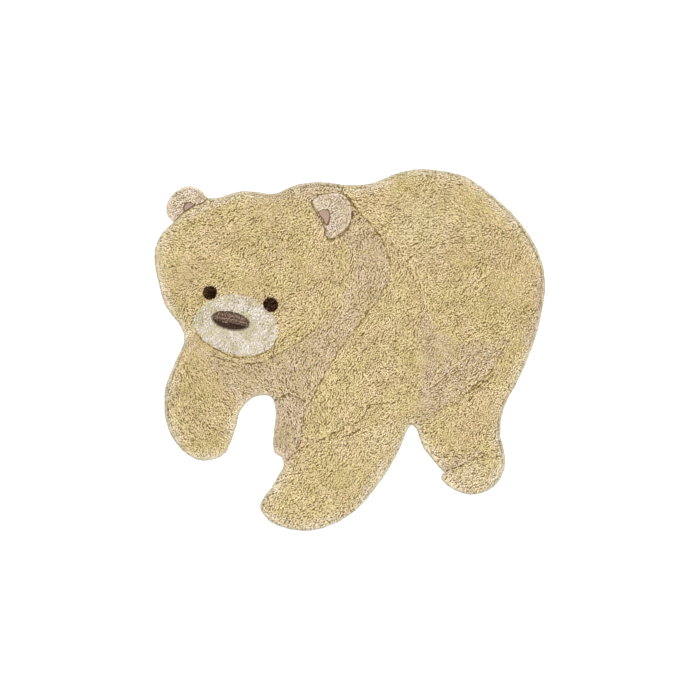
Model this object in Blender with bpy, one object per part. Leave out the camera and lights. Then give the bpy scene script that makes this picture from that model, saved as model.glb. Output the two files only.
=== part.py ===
"""A bear-shaped tufted rug for a child's room, lying flat on a floor.

The bear walks towards -X with its head low and turned to the viewer, and its back is towards +Y.
+Z is up. The origin is on the floor, under the middle of the whole rug.
The body is one carved cut-pile piece. Two small tufted ears, each with a smooth cloth inner ear, are
sewn to it: the near ear lies in a bed pressed into the neck, and the far ear butts against the head.
Tables of marks are in millimetres, because that is how a tufter draws the rug on its canvas.
"""

import math
from collections import namedtuple

import bpy
import numpy as np
from mathutils import Vector, geometry, noise

MM = 0.001
CANVAS = "canvas"
GAP = 0.3  # between pieces that touch, in mm like every size down to the tables

# Heights above the floor
BACKING = 3.0  # canvas, glue and the lining cloth under the pile
PILE = 15.0
WAIST = 8.0  # where the cut pile spreads furthest past the backing
EAR_PILE = 12.0
EAR_BED = 9.0  # the neck's pile, pressed down under the near ear
CLOTH = 1.6  # the inner ears' cloth

# The rounded rim
RIM_REACH = 12.0  # how far in from the outline the face has its full height
FOOT_INSET = 3.0  # the backing stops this far inside the pile
EAR_FOOT_INSET = 1.5
RIM_RINGS = (3.0, 9.0)  # rows of points that draw the rounding, in from the outline

# The face's slow unevenness, as the tufts lean and clump
LUMP_HEIGHT = 1.1
LUMP_LENGTH = 46.0
RIM_WAVE = 0.9
RIM_WAVE_LENGTH = 21.0

# Spacing of points
RIM_STEP = 9.5
LINE_STEP = 15.0
GRID_STEP = 21.0
UNDERSIDE_STEP = 90.0
EAR_RIM_STEP = 8.0
EAR_GRID_STEP = 12.0
CLOTH_STEP = 7.0

# How pieces are set in the pile
BED_ROOM = 0.6  # round the near ear, at the bottom of its bed
BED_SLOPE = 3.0  # over which the neck's pile is pressed down
POCKET_ROOM = 0.5  # round the inner ears' cloth
POCKET_SLOPE = 1.5
LUMP_CLEAR = 25.0  # the face's lumps fade out this close to the rim
EDGE_TEST = 0.3  # takes in the points that lie on a loop itself

# How the points of a face are spread
ROW_SHARE = 0.87  # staggered rows this share of a step apart make even triangles
RIM_CLEAR = 0.4  # of a step, between the inmost rim ring and the spread points
LINE_CLEAR = 0.5  # of a step, between a drawn line and the spread points
RING_CLEAR = 0.85  # of its inset: where a rim ring folds over a tight bend it is left out
UNDERSIDE_CLEAR = 22.0
OVAL_POINTS = 14
ENCLOSED = 1  # the triangulation keeps only what the loops enclose
MERGE_WITHIN = 1e-5  # points this close are one

# Each piece has its own pattern of waves and lumps
BODY_WAVES, EAR_WAVES, BODY_LUMPS, EAR_LUMPS = 1.0, 2.0, 3.0, 5.0

YARN_ROUGHNESS = 0.95
SHARP_ANGLE = 50.0  # in degrees: a sharper edge is drawn as a crease

Mark = namedtuple("Mark", "place x y")
Carving = namedtuple("Carving", "name depth half_width marks")
Zone = namedtuple("Zone", "material loop")

# ---------------------------------------------------------------- the body's outline, anticlockwise
HEAD_SIDE = [
    Mark("far ear, foot", -533, 391),
    Mark("temple", -571, 354),
    Mark("brow", -592, 296),
    Mark("cheek", -583, 220),
    Mark("jaw", -559, 137),
    Mark("chin", -512, 72),
    Mark("throat", -502, 30),
]
RAISED_PAW = [
    Mark("wrist", -526, -28),
    Mark("outer side", -561, -130),
    Mark("toes, outer", -550, -238),
    Mark("toes, tip", -502, -308),
    Mark("toes, bottom", -442, -335),
    Mark("toes, inner", -381, -316),
    Mark("inner side", -350, -250),
    Mark("elbow", -328, -178),
    Mark("armpit", -280, -138),
]
FAR_LEG = [
    Mark("top", -236, -143),
    Mark("shin", -223, -192),
    Mark("ankle", -231, -270),
    Mark("heel", -226, -312),
    Mark("toes", -204, -326),
]
NEAR_LEG = [
    Mark("notch", -198, -350),
    Mark("shin", -232, -412),
    Mark("toes, upper", -270, -472),
    Mark("toes, tip", -248, -513),
    Mark("sole, front", -190, -541),
    Mark("sole, middle", -118, -548),
    Mark("sole, back", -42, -526),
    Mark("heel", 32, -475),
    Mark("calf", 94, -400),
    Mark("knee", 152, -304),
    Mark("elbow", 180, -240),
]
HIND_LEG = [
    Mark("groin, left", 190, -227),
    Mark("groin, right", 204, -237),
    Mark("thigh, front", 228, -297),
    Mark("hock, front", 279, -360),
]
HIND_FOOT = [
    Mark("toes, notch", 289, -371),
    Mark("toes, upper", 281, -388),
    Mark("toes, front", 306, -415),
    Mark("sole, front", 368, -438),
    Mark("sole, back", 434, -420),
    Mark("heel", 473, -362),
    Mark("hock", 471, -296),
    Mark("ankle", 461, -258),
]
RUMP = [
    Mark("thigh, low", 472, -178),
    Mark("thigh, middle", 514, -92),
    Mark("thigh, high", 562, 20),
    Mark("tail", 591, 135),
    Mark("rump, low", 597, 196),
    Mark("rump, middle", 585, 278),
    Mark("rump, high", 527, 384),
    Mark("croup, back", 447, 464),
    Mark("croup, top", 359, 527),
]
BACK = [
    Mark("loin", 285, 547),
    Mark("back, top", 222, 553),
    Mark("back, front", 150, 541),
    Mark("saddle", 68, 509),
    Mark("withers", 0, 505),
    Mark("nape", -88, 513),
    Mark("nape, front", -160, 505),
    Mark("behind the head", -225, 479),
    Mark("crown, back", -285, 484),
    Mark("crown", -328, 485),
    Mark("forehead", -396, 467),
]
FAR_EAR_BASE = [
    Mark("ear, upper end", -431, 463),
    Mark("fold", -452, 446),
    Mark("cloth, upper end", -467, 443),
    Mark("cloth, middle", -484, 432),
    Mark("cloth, lower end", -504, 420),
]

# ---------------------------------------------------------------- the ears
FAR_EAR_RIM = [
    Mark("lower end", -537, 392),
    Mark("outer, low", -555, 418),
    Mark("outer", -554, 447),
    Mark("outer, high", -534, 478),
    Mark("top, left", -508, 495),
    Mark("top", -484, 501),
    Mark("top, right", -458, 491),
    Mark("upper end", -431, 466),
]
NEAR_EAR = [
    Mark("base, upper end", -112, 452),
    Mark("base, at the cloth", -99, 422),
    Mark("base, middle", -84, 400),
    Mark("base, lower", -74, 378),
    Mark("lobe, left", -69, 350),
    Mark("lobe, low", -55, 341),
    Mark("lobe, right", -33, 352),
    Mark("outer, low", -4, 378),
    Mark("outer, middle", 8, 412),
    Mark("outer, high", 0, 455),
    Mark("top, right", -24, 477),
    Mark("top", -62, 478),
    Mark("top, left", -94, 470),
]
FAR_CLOTH = [
    Mark("top", -493, 450),
    Mark("left", -503, 437),
    Mark("low, left", -500, 427),
    Mark("low, right", -486, 436),
    Mark("right", -472, 446),
]
NEAR_CLOTH = [
    Mark("left", -91, 420),
    Mark("base, middle", -77, 401),
    Mark("point", -68, 383),
    Mark("right, low", -61, 393),
    Mark("right", -57, 413),
    Mark("top, right", -63, 426),
    Mark("top, left", -83, 427),
]

# ---------------------------------------------------------------- the lines carved in the pile
CHIN_LINE = [
    Mark("cheek", -488, 55),
    Mark("under the cheek", -449, 20),
    Mark("under the muzzle", -397, -14),
    Mark("chin, left", -337, -38),
    Mark("chin, right", -273, -38),
    Mark("jaw", -188, 3),
    Mark("jaw, back", -124, 48),
    Mark("cheek, back", -68, 84),
]
HEAD_BACK_LINE = [
    Mark("cheek, back", -60, 92),
    Mark("neck, low", -30, 125),
    Mark("neck, middle", 4, 215),
    Mark("neck, high", 14, 285),
    Mark("ear, lobe", -14, 336),
]
SHOULDER_EDGE = [
    Mark("nape", -26, 487),
    Mark("behind the ear", 34, 419),
    Mark("high", 93, 350),
    Mark("widest", 124, 268),
    Mark("middle", 109, 190),
    Mark("low", 49, 102),
    Mark("chest", -30, 0),
    Mark("leg, high", -97, -117),
    Mark("leg, middle", -134, -190),
    Mark("leg, low", -152, -290),
    Mark("leg, foot", -186, -334),
]
SHOULDER_BACK = [
    Mark("nape", -18, 480),
    Mark("high", 73, 428),
    Mark("middle", 158, 295),
    Mark("low", 214, 212),
    Mark("foot", 248, 60),
]
FAR_LEG_TOP = [
    Mark("left", -221, -146),
    Mark("middle", -184, -134),
    Mark("right", -133, -156),
]
BELLY_EDGE = [
    Mark("flank", 464, -5),
    Mark("high", 455, -45),
    Mark("middle", 408, -114),
    Mark("thigh", 356, -132),
    Mark("low", 286, -172),
    Mark("groin", 222, -226),
]
BELLY_CREASE = [
    Mark("low", 250, -111),
    Mark("middle", 296, -72),
    Mark("high", 364, -27),
]
FOOT_CREASE = [
    Mark("toes", 297, -367),
    Mark("middle", 342, -350),
    Mark("end", 416, -307),
]
LEG_CREASE = [
    Mark("shin", -152, -302),
    Mark("low", -83, -271),
    Mark("middle", 0, -232),
    Mark("high", 41, -182),
    Mark("end", 103, -160),
]
CARVINGS = [
    Carving("chin", 4.5, 8.0, CHIN_LINE),
    Carving("head back", 1.5, 9.0, HEAD_BACK_LINE),
    Carving("shoulder edge", 3.5, 8.0, SHOULDER_EDGE),
    Carving("shoulder back", 1.5, 8.0, SHOULDER_BACK),
    Carving("far leg", 3.0, 7.0, FAR_LEG_TOP),
    Carving("belly", 3.0, 8.0, BELLY_EDGE),
    Carving("belly crease", 2.0, 6.0, BELLY_CREASE),
    Carving("foot", 4.0, 8.0, FOOT_CREASE),
    Carving("leg", 3.5, 8.0, LEG_CREASE),
]

# ---------------------------------------------------------------- the fields of other yarn colours
EAR_BASE_SEAM = [
    Mark("lobe", -60, 352),
    Mark("low", -80, 372),
    Mark("high", -112, 448),
]
BEHIND_HEAD_SEAM = [
    Mark("ear, top", -122, 454),
    Mark("middle", -180, 459),
    Mark("crown", -240, 466),
]
THROAT_SEAM = [
    Mark("armpit", -318, -160),
    Mark("chest", -375, -105),
    Mark("paw, top", -425, -45),
    Mark("throat, low", -452, 0),
    Mark("throat, edge", -505, 12),
]
FLANK_SEAM = [
    Mark("groin", 206, -170),
    Mark("leg, high", 226, -50),
    Mark("elbow, back", 219, 60),
    Mark("elbow, top", 232, 122),
    Mark("flank, front", 264, 68),
    Mark("flank, middle", 330, 28),
    Mark("flank, back", 420, 22),
    Mark("flank, end", 486, 42),
]
THROAT_AND_NECK = (
    CHIN_LINE
    + HEAD_BACK_LINE
    + EAR_BASE_SEAM
    + BEHIND_HEAD_SEAM
    + [Mark("behind the head, edge", -275, 520), Mark("nape, edge", -30, 530)]
    + SHOULDER_EDGE[:9]
    + [Mark("armpit, right", -228, -150), Mark("under the armpit", -285, -170)]
    + THROAT_SEAM
)
FAR_LEG_FIELD = FAR_LEG_TOP + SHOULDER_EDGE[8:] + [
    Mark("under the toes", -210, -360),
    Mark("beside the shin", -260, -250),
]
BELLY_FIELD = BELLY_EDGE + [Mark("groin, edge", 190, -250)] + FLANK_SEAM
TAIL_FIELD = [
    Mark("low", 540, 30),
    Mark("middle", 572, 118),
    Mark("high", 584, 228),
    Mark("edge, high", 620, 240),
    Mark("edge, low", 590, 20),
]
MUZZLE = [
    Mark("left", -473, 90),
    Mark("top, left", -438, 142),
    Mark("top", -350, 172),
    Mark("top, right", -269, 146),
    Mark("right, high", -219, 80),
    Mark("right, low", -232, 16),
    Mark("bottom, right", -285, -14),
    Mark("bottom", -350, -9),
    Mark("bottom, left", -440, 30),
]
FAR_EYE = ((-422, 177), (22, 22), 0.0)  # middle, half sizes and tilt in degrees
NEAR_EYE = ((-238, 140), (24, 23), 0.0)
NOSE = ((-360, 92), (61, 29), -12.0)

COLOURS = {  # linear red, green and blue of the yarns, and of the inner ears' cloth
    "honey": (0.58, 0.45, 0.22),
    "rose_beige": (0.53, 0.40, 0.26),
    "cream": (0.74, 0.64, 0.50),
    "cocoa": (0.035, 0.014, 0.009),
    "umber": (0.12, 0.07, 0.045),
    "ear_beige": (0.62, 0.50, 0.36),
    "mauve": (0.47, 0.33, 0.27),
}


# ---------------------------------------------------------------- curves and distances, in mm
def curve(marks, step, closed=False):
    """Points about a step apart on a smooth curve through the marks (a centripetal cubic spline)."""
    knots = [np.array((m.x, m.y), float) for m in marks]
    if closed:
        knots = [knots[-1], *knots, knots[0], knots[1]]
    else:
        knots = [2 * knots[0] - knots[1], *knots, 2 * knots[-1] - knots[-2]]
    points = []
    for before, start, end, after in zip(knots, knots[1:], knots[2:], knots[3:]):
        lengths = [math.sqrt(np.linalg.norm(b - a)) for a, b in
                   ((before, start), (start, end), (end, after))]
        times = np.cumsum([0.0, *lengths])
        count = max(2, round(np.linalg.norm(end - start) / step))
        for t in np.linspace(times[1], times[2], count, endpoint=False):
            points.append(between(t, times, (before, start, end, after)))
    if not closed:
        points.append(knots[-2])
    return np.array(points)


def between(t, times, knots):
    """The curve's point at time t, by blending its four knots pair by pair."""
    row = knots
    for spans in (((0, 1), (1, 2), (2, 3)), ((0, 2), (1, 3)), ((1, 2),)):
        row = [
            (row[i] * (times[end] - t) + row[i + 1] * (t - times[start])) / (times[end] - times[start])
            for i, (start, end) in enumerate(spans)
        ]
    return row[0]


def line_normals(line):
    """Unit normals of an open line of points."""
    along = np.gradient(line, axis=0)
    along /= np.linalg.norm(along, axis=1, keepdims=True)
    return np.stack([along[:, 1], -along[:, 0]], 1)


def normals(loop):
    """Unit normals of an anticlockwise loop, pointing out."""
    along = np.roll(loop, -1, 0) - np.roll(loop, 1, 0)
    along /= np.linalg.norm(along, axis=1, keepdims=True)
    return np.stack([along[:, 1], -along[:, 0]], 1)


def grown(loop, amount):
    """The loop, moved outwards by an amount."""
    return loop + normals(loop) * amount


def ring(loop):
    """The loop as a line that ends where it starts."""
    return np.concatenate([loop, loop[:1]])


def distance(points, line, closed=False):
    """How far each point lies from a line of points."""
    ends = np.roll(line, -1, 0) if closed else line[1:]
    starts = line if closed else line[:-1]
    nearest = np.full(len(points), np.inf)
    for a, b in zip(starts, ends):
        share = np.clip((points - a) @ (b - a) / max((b - a) @ (b - a), 1e-12), 0, 1)
        gap = np.linalg.norm(points - (a + share[:, None] * (b - a)), axis=1)
        nearest = np.minimum(nearest, gap)
    return nearest


def inside(points, loop):
    """True for each point within a closed loop, by counting the edges to its right."""
    crossed = np.zeros(len(points), bool)
    for a, b in zip(loop, np.roll(loop, -1, 0)):
        spans = (a[1] > points[:, 1]) != (b[1] > points[:, 1])
        if a[1] != b[1]:
            x = a[0] + (points[:, 1] - a[1]) / (b[1] - a[1]) * (b[0] - a[0])
            crossed ^= spans & (points[:, 0] < x)
    return crossed


def kept_within(line, loop):
    """The part of a line that lies on the face, in from the loop's rounded rim."""
    return line[inside(line, loop) & (distance(line, loop, closed=True) > RIM_REACH)]


def oval(middle, half_sizes, tilt):
    """A loop of points on an ellipse."""
    turn = math.radians(tilt)
    angles = np.arange(OVAL_POINTS) * 2 * math.pi / OVAL_POINTS
    x = half_sizes[0] * np.cos(angles)
    y = half_sizes[1] * np.sin(angles)
    return np.stack([
        middle[0] + x * math.cos(turn) - y * math.sin(turn),
        middle[1] + x * math.sin(turn) + y * math.cos(turn),
    ], 1)


def wavy(loop, amount, length, seed):
    """The loop with the slight waves of a tufted rim."""
    offsets = [amount * noise.noise((x / length, y / length, seed)) for x, y in loop]
    return loop + normals(loop) * np.array(offsets)[:, None]


def bumps(points, seed):
    """The slow unevenness of the pile at each point."""
    return np.array([
        LUMP_HEIGHT * noise.noise((x / LUMP_LENGTH, y / LUMP_LENGTH, seed))
        for x, y in points
    ])


# ---------------------------------------------------------------- building closed bodies
def triangles(points, edges, loops):
    """A constrained triangulation of what the loops enclose: its points, faces and each loop's indices."""
    count = len(points)
    found, _, faces, sources, _, _ = geometry.delaunay_2d_cdt(
        [Vector(p) for p in points], edges, loops, ENCLOSED, MERGE_WITHIN
    )
    where = {}
    for new, old in enumerate(sources):
        for index in old:
            if index < count:
                where[index] = new
    return np.array([tuple(p) for p in found]), faces, where


def chain(start, count, closed=False):
    """The edges that join a run of points."""
    edges = [(start + i, start + i + 1) for i in range(count - 1)]
    return edges + [(start + count - 1, start)] if closed else edges


def scattered(loop, step, keep_clear, lines):
    """Staggered rows of points within the loop, clear of its rim and of the lines."""
    low, high = loop.min(0), loop.max(0)
    rows = []
    for row, y in enumerate(np.arange(low[1], high[1], step * ROW_SHARE)):
        shift = step / 2 * (row % 2)
        rows += [(x, y) for x in np.arange(low[0] + shift, high[0], step)]
    points = np.array(rows)
    points = points[inside(points, loop)]
    points = points[distance(points, loop, closed=True) > keep_clear]
    for line in lines:
        points = points[distance(points, line) > step * LINE_CLEAR]
    return points


def rim_rings(loop):
    """Rows of points that follow the loop a little way in from it."""
    kept = []
    for inset in RIM_RINGS:
        row = grown(loop, -inset)
        row = row[inside(row, loop)]
        kept.append(row[distance(row, loop, closed=True) > inset * RING_CLEAR])
    return np.concatenate(kept)


def pile_body(name, loop, foot, floor, waist, height, lines, step, zones):
    """One closed tufted body: a flat underside within the foot's loop, sides that bulge to the outer loop
    at the waist, and a face at height. The two loops have as many points."""
    rings = rim_rings(loop)
    lines = [line for line in lines if len(line) > 1]
    grid = scattered(loop, step, RIM_RINGS[-1] + step * RIM_CLEAR, lines)
    points, edges = [loop, rings, grid], []
    total = len(loop) + len(rings) + len(grid)
    for line in lines:
        edges += chain(total, len(line))
        points.append(line)
        total += len(line)
    flat, faces, where = triangles(np.concatenate(points), edges, [list(range(len(loop)))])
    rim = [where[i] for i in range(len(loop))]
    tops = height(flat)
    tops[rim] = waist
    vertices = [(x, y, z) for (x, y), z in zip(flat, tops)]
    middles = np.array([flat[list(face)].mean(0) for face in faces])
    slots = zone_of(middles, zones)

    spread = scattered(foot, UNDERSIDE_STEP, UNDERSIDE_CLEAR, [])
    under, under_faces, under_where = triangles(
        np.concatenate([foot, spread]), [], [list(range(len(foot)))]
    )
    first = len(vertices)
    vertices += [(x, y, floor) for x, y in under]
    faces = [tuple(face) for face in faces]
    faces += [tuple(first + i for i in reversed(face)) for face in under_faces]
    for i, upper in enumerate(rim):
        following = (i + 1) % len(rim)
        lower, next_lower = first + under_where[i], first + under_where[following]
        faces += [(upper, lower, next_lower), (upper, next_lower, rim[following])]
    slots = list(slots) + [0] * (len(faces) - len(slots))
    return new_object(name, vertices, faces, slots, [zone.material for zone in zones])


def zone_of(middles, zones):
    """For each face's middle, the last zone that holds it. The first zone holds them all."""
    slots = np.zeros(len(middles), int)
    for index, zone in enumerate(zones[1:], 1):
        slots[inside(middles, zone.loop)] = index
    return slots


def cloth_body(name, loop, low, high, material):
    """A thin flat piece of cloth with straight cut sides."""
    found, faces, where = triangles(loop, [], [list(range(len(loop)))])
    count = len(found)
    vertices = [(x, y, high) for x, y in found] + [(x, y, low) for x, y in found]
    faces = [tuple(face) for face in faces]
    faces += [tuple(count + i for i in reversed(face)) for face in faces]
    rim = [where[i] for i in range(len(loop))]
    for a, b in zip(rim, rim[1:] + rim[:1]):
        faces.append((a, count + a, count + b, b))
    return new_object(name, vertices, faces, [0] * len(faces), [material])


def new_object(name, vertices, faces, slots, materials):
    """A mesh object in metres, with a material for each slot."""
    mesh = bpy.data.meshes.new(name)
    mesh.from_pydata([tuple(c * MM for c in v) for v in vertices], [], faces)
    for material in materials:
        mesh.materials.append(yarn(material))
    mesh.polygons.foreach_set("material_index", slots)
    mesh.shade_smooth()
    mesh.set_sharp_from_angle(angle=math.radians(SHARP_ANGLE))
    made = bpy.data.objects.new(name, mesh)
    bpy.context.scene.collection.objects.link(made)
    made.parent = bpy.data.objects[CANVAS]
    return made


def yarn(name):
    """The material of one yarn or cloth, made on its first use."""
    if name in bpy.data.materials:
        return bpy.data.materials[name]
    material = bpy.data.materials.new(name)
    material.use_nodes = True
    shader = material.node_tree.nodes["Principled BSDF"]
    shader.inputs["Base Color"].default_value = (*COLOURS[name], 1.0)
    shader.inputs["Roughness"].default_value = YARN_ROUGHNESS
    shader.inputs["Metallic"].default_value = 0.0
    return material


# ---------------------------------------------------------------- the rug's pieces
def body_outline():
    """The body's outline, anticlockwise, and the number of its last points that face the far ear.

    It has a corner at each end of the ear's base, at the near leg's notch and at the hind toes' notch."""
    runs = [
        HEAD_SIDE + RAISED_PAW + FAR_LEG + NEAR_LEG[:1],
        NEAR_LEG + HIND_LEG + HIND_FOOT[:1],
        HIND_FOOT + RUMP + BACK + FAR_EAR_BASE[:1],
        FAR_EAR_BASE + HEAD_SIDE[:1],
    ]
    drawn = [curve(run, RIM_STEP)[:-1] for run in runs]
    return wavy(np.concatenate(drawn), RIM_WAVE, RIM_WAVE_LENGTH, BODY_WAVES), len(drawn[-1])


def far_ear_outline(outline, facing):
    """The far ear's outline: its round rim, then a base that follows the body a gap away."""
    beside = outline + normals(outline) * GAP
    base = np.concatenate([beside[:1], beside[: -facing - 1 : -1]])
    rim = wavy(curve(FAR_EAR_RIM, EAR_RIM_STEP), RIM_WAVE, RIM_WAVE_LENGTH, EAR_WAVES)
    return np.concatenate([rim[-2:0:-1], base])


def rounded_rim(points, loop, waist, full):
    """Heights that round over from the waist at the loop to the full height further in."""
    share = np.clip(distance(points, loop, closed=True) / RIM_REACH, 0, 1)
    return waist + (full - waist) * np.sqrt(1 - (1 - share) ** 2)


def build_body(outline, ear_bed):
    """The bear's carved body, with the near ear's bed pressed into it."""
    carved = [(c, curve(c.marks, LINE_STEP)) for c in CARVINGS]

    def height(points):
        tops = rounded_rim(points, outline, WAIST, BACKING + PILE)
        clear = np.clip(distance(points, outline, closed=True) / LUMP_CLEAR, 0, 1)
        tops += bumps(points, BODY_LUMPS) * clear
        for carving, line in carved:
            near = np.clip(1 - distance(points, line) / carving.half_width, 0, 1)
            tops -= carving.depth * near
        tops[inside(points, grown(ear_bed, EDGE_TEST))] = EAR_BED
        return tops

    fields = [
        Zone("honey", None),
        Zone("rose_beige", curve(THROAT_AND_NECK, LINE_STEP, closed=True)),
        Zone("rose_beige", curve(FAR_LEG_FIELD, LINE_STEP, closed=True)),
        Zone("rose_beige", curve(BELLY_FIELD, LINE_STEP, closed=True)),
        Zone("rose_beige", curve(TAIL_FIELD, LINE_STEP, closed=True)),
        Zone("cream", curve(MUZZLE, LINE_STEP, closed=True)),
        Zone("cocoa", oval(*FAR_EYE)),
        Zone("cocoa", oval(*NEAR_EYE)),
        Zone("umber", oval(*NOSE)),
    ]
    lines = [ring(ear_bed), ring(grown(ear_bed, BED_SLOPE))]
    lines += [ring(zone.loop) for zone in fields if zone.material in ("cream", "cocoa", "umber")]
    seams = (BEHIND_HEAD_SEAM, THROAT_SEAM, FLANK_SEAM, TAIL_FIELD[:3])
    lines += [kept_within(curve(seam, LINE_STEP), outline) for seam in seams]
    for carving, line in carved:
        side = line_normals(line) * carving.half_width
        lines += [kept_within(run, outline) for run in (line, line + side, line - side)]
    foot = grown(outline, -FOOT_INSET)
    return pile_body("rug", outline, foot, 0.0, WAIST, height, lines, GRID_STEP, fields)


def build_ear(name, outline, floor, cloth):
    """A small tufted ear, with a pocket in its pile down to its backing for the inner ear's cloth."""
    waist = floor + WAIST
    pocket = floor + BACKING

    def height(points):
        tops = rounded_rim(points, outline, waist, pocket + EAR_PILE) + bumps(points, EAR_LUMPS) / 2
        tops[inside(points, grown(cloth, POCKET_ROOM + EDGE_TEST))] = pocket
        return tops

    lines = [ring(grown(cloth, POCKET_ROOM)), ring(grown(cloth, POCKET_ROOM + POCKET_SLOPE))]
    foot = grown(outline, -EAR_FOOT_INSET)
    pile_body(name, outline, foot, floor, waist, height, lines, EAR_GRID_STEP, [Zone("ear_beige", None)])
    cloth_body("inner_" + name, cloth, pocket + GAP, pocket + GAP + CLOTH, "mauve")


def lay_canvas(outline):
    """An empty that carries every piece. It sets the drawing's middle over the origin."""
    middle = (outline.min(0) + outline.max(0)) / 2
    canvas = bpy.data.objects.new(CANVAS, None)
    canvas.location = (-middle[0] * MM, -middle[1] * MM, 0)
    bpy.context.scene.collection.objects.link(canvas)


def main():
    for old in list(bpy.data.objects):
        bpy.data.objects.remove(old)
    outline, facing = body_outline()
    lay_canvas(outline)
    bed = curve(NEAR_EAR, EAR_RIM_STEP, closed=True)
    build_body(outline, bed)
    near_cloth = curve(NEAR_CLOTH, CLOTH_STEP, closed=True)
    far_cloth = curve(FAR_CLOTH, CLOTH_STEP, closed=True)
    build_ear("ear_near", grown(bed, -BED_ROOM), EAR_BED + GAP, near_cloth)
    build_ear("ear_far", far_ear_outline(outline, facing), 0.0, far_cloth)


main()
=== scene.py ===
"""The look of a bear-shaped tufted rug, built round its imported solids.

Every tuft is a short bent lock of cut yarn, planted on the solids' own faces. The locks follow the
lines carved in the pile, and take the colour of the yarn field they stand in. Sizes are in
millimetres, as a tufter draws such a rug, and turn into metres where a mesh is made. Marks are drawn
about the drawing's own origin, and placed() moves them into the frame.
"""

import math
from collections import namedtuple

import bmesh
import bpy
import numpy as np
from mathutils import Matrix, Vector, kdtree, noise
from mathutils.bvhtree import BVHTree


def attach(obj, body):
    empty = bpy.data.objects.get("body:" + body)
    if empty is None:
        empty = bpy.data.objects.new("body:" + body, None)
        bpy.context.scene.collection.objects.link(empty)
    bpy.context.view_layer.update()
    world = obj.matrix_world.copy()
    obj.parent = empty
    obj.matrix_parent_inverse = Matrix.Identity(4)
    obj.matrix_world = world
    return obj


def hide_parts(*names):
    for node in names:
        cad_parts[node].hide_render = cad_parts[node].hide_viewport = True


MM = 0.001
DRAWING_MIDDLE = np.array([2.37, 2.27])  # the middle of the rug's box, in the drawing
ROOT = "root"

# ---- sizes of the pile
BACKING = 3.0  # the canvas with its glue and lining cloth
RIM_REACH = 12.0  # how far in from its rim the face is rounded
RIM_INSETS = (0.3, 1.5, 3.1, 5.2)  # rows of locks that follow the rim
RIM_PITCH = 0.84  # of the pile's own
LOW_ROW = 5.4  # the height of the lowest row, just above the backing
FACE_FROM = 7.0  # how far in the face's own rows begin
RIM_SCATTER = 0.14
RIM_JITTER = 0.8
RIM_SHORTER = 0.35  # how much shorter the rim's locks are
RIM_OPEN = 0.6  # how far light reaches down the rim's locks
SIDES = 3  # of a lock
RINGS = ((0.0, 0.75), (0.72, 1.00))  # along a lock: where each ring is, and its size
RUFFLE = 0.9  # how much rougher the pile is beside some carved lines
LIP_SHARE = 0.35  # how far the pile stands up beside a carved line, of its depth
FOOT_SHARE = 0.12  # up to this share of its length a lock has its foot's painted shade
LIT_SPAN = 0.55  # and after this much more it has its end's colour
MAP_EDGE = 0.08  # the margin in a lock's own cell of the map, and the width of each side
MAP_STEP = 0.28
MAP_LEVELS = (0.22, 0.70, 0.95)  # how high its rings and its tip lie in the cell, and where its foot is
MAP_FOOT = ((0.1, 0.06), (0.3, 0.06), (0.2, 0.16))
BED_DROP = 6.5  # how far below the locks' ends the dense foot of the pile lies
BED_INSET = 4.0
BED_LOWEST = 4.0
SEAM_REACH = 3.0  # this near the body's rim an ear's foot goes on under it, as far as the tuck
SEAM_TUCK = 1.8
DISC_RINGS = ((1.0, -9.0), (1.0, -4.5), (0.9, -3.6))  # a small patch's foot: sizes, heights
FOOT_BAND = 0.1  # no higher than this is a solid's underside
UPWARD = 0.02  # a face that looks up more than this is on top

# The locks' spacing, scatter, length, half width, flattening, bend and uneven height, the size and pull
# of their clumps, the height of slow swells, how much of the roughness below they take, how much painted
# shade darkens the rim and its nicks, how far the outermost row strays, and how far the rim's locks turn
# outwards, of a quarter turn
Pile = namedtuple(
    "Pile",
    "pitch jitter length width stretch reach height_spread clump pull swell rough rim_shade notch stray turn",
)
BODY_PILE = Pile(3.5, 0.75, 8.5, 2.0, 1.1, 4.4, 0.22, 7.6, 0.1, 0.8, 1.0, 0.38, 0.08, 0.0, 0.92)
FACE_PILE = Pile(3.6, 0.7, 8.0, 1.85, 1.2, 2.6, 0.6, 7.6, 0.15, 0.0, 0.6, 0.0, 0.6, 0.0, 0.92)
EAR_PILE = Pile(3.6, 0.75, 7.0, 2.05, 1.15, 3.4, 0.3, 7.6, 0.2, 0.5, 0.6, 0.16, 0.45, 1.9, 0.78)
REACH_SPREAD = 0.25  # how much single locks differ in bend and in width
WIDTH_SPREAD = 0.12
SAG = 0.22  # how much lower a lock's end is for how far it bends over
RISE_RANGE = (-4.0, 2.2)  # how much shorter or longer a lock may be
NOTCH_LENGTH = 8.0  # of the nicks in the rim, and how deep they are
NOTCH_DEPTH = 1.5
PATCH_LENGTH = 66.0  # across which the pile is rougher or smoother
PATCH_ROUGH = 0.6

Mark = namedtuple("Mark", "x y")
Carving = namedtuple("Carving", "half_width parting lowered ragged ruffle marks")
Field = namedtuple("Field", "yarn softness mingled marks")
Lay = namedtuple("Lay", "x y angle rough")
Spot = namedtuple("Spot", "x y radius amount")
Oval = namedtuple("Oval", "x y half_width half_height tilt")
Yarn = namedtuple("Yarn", "light deep warm spread")
Rim = namedtuple("Rim", "colour share band")


def table(kind, **rows):
    """Rows of one kind, in order, each named for where it lies."""
    return [kind(*row) for row in rows.values()]


def marks(**rows):
    """The marks of a line or an outline."""
    return table(Mark, **rows)


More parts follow.
